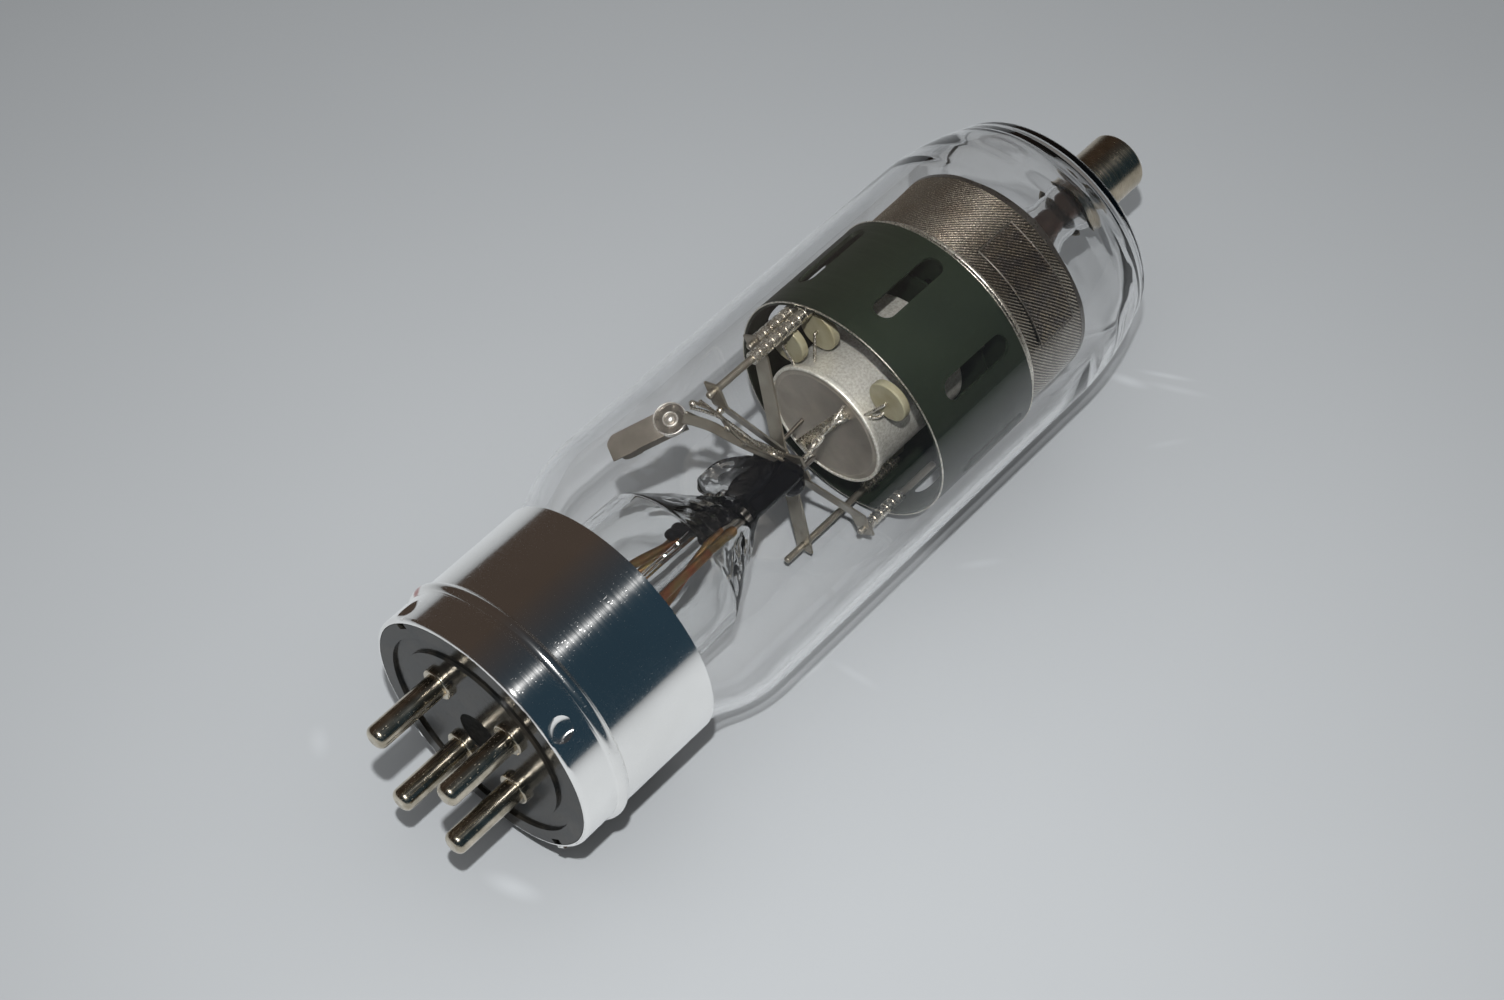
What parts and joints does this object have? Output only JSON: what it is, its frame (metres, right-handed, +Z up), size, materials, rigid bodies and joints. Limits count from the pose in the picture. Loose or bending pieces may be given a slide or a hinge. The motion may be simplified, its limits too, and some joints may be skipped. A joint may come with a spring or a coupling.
{
  "type": "thyratron tube",
  "caption": "Gas-filled thyratron tube with a pinned metal base, clear bulb with its electrodes open to view, and an anode cap at the top.",
  "frame": {"origin": "on the ground under the middle of the tube as it lies on its bulb", "axes": "+X along the tube towards the anode cap, +Z up"},
  "size_m": [0.2248, 0.066, 0.066],
  "materials": {
    "shell_nickel": "bright nickel plate with fine scratches",
    "insert_moulding": "dark grey moulded wafer, semi-gloss",
    "pin_nickel": "worn nickel-plated brass",
    "cement": "matt basing cement",
    "bulb_glass": "clear blown glass",
    "stem_glass": "clear pressed glass, dark at the pinch",
    "lead_wire": "drawn wire, oxidised",
    "copper_braid": "oxidised copper braid",
    "cap_nickel": "dark nickel plate",
    "anode_nickel": "dark carbonised nickel",
    "gauze_nickel": "fine woven gauze",
    "ring_nickel": "bright rolled band",
    "grid_green": "green-black oxidised sheet, satin",
    "can_nickel": "grit-blasted nickel, frosted",
    "disc_nickel": "smooth grey sheet",
    "heater_wire": "coated heater rod",
    "frame_nickel": "warm grey sheet and rod",
    "ceramic_cream": "cream unglazed ceramic",
    "getter_metal": "bright pressed ring"
  },
  "bodies": {
    "root": {"base_shell": "shell_nickel", "base_insert": "insert_moulding", "pin_1": "pin_nickel", "pin_2": "pin_nickel", "pin_3": "pin_nickel", "pin_4": "pin_nickel", "base_cement": "cement", "bulb": "bulb_glass", "stem": "stem_glass", "exhaust_tube": "stem_glass", "stem_lead_1": "lead_wire", "stem_lead_2": "lead_wire", "stem_lead_3": "lead_wire", "stem_lead_4": "lead_wire", "base_braid_1": "copper_braid", "base_braid_2": "copper_braid", "base_braid_3": "copper_braid", "base_braid_4": "copper_braid", "top_cap": "cap_nickel", "anode_lead": "anode_nickel", "anode_seal": "bulb_glass", "anode_cup": "anode_nickel", "anode_top": "anode_nickel", "anode_gauze": "gauze_nickel", "gauze_patch": "gauze_nickel", "anode_ring": "ring_nickel", "grid_cylinder": "grid_green", "grid_plate": "grid_green", "grid_baffle": "grid_green", "cathode_can": "can_nickel", "cathode_disc": "disc_nickel", "cathode_core": "can_nickel", "heater": "heater_wire", "heater_terminal": "frame_nickel", "heater_feed": "lead_wire", "cathode_feed": "lead_wire", "support_hub": "frame_nickel", "support_rod_1": "frame_nickel", "rod_sleeve_1": "frame_nickel", "support_strap_1": "frame_nickel", "support_rod_2": "frame_nickel", "rod_sleeve_2": "frame_nickel", "support_strap_2": "frame_nickel", "support_rod_3": "frame_nickel", "rod_sleeve_3": "frame_nickel", "support_strap_3": "frame_nickel", "support_rod_4": "frame_nickel", "rod_sleeve_4": "frame_nickel", "support_strap_4": "frame_nickel", "ceramic_disc_1": "ceramic_cream", "ceramic_disc_2": "ceramic_cream", "ceramic_disc_3": "ceramic_cream", "ceramic_disc_4": "ceramic_cream", "ceramic_disc_5": "ceramic_cream", "tie_wires": "frame_nickel", "getter_ring": "getter_metal", "getter_flag": "frame_nickel", "getter_wire": "frame_nickel"}
  },
  "joints": []
}
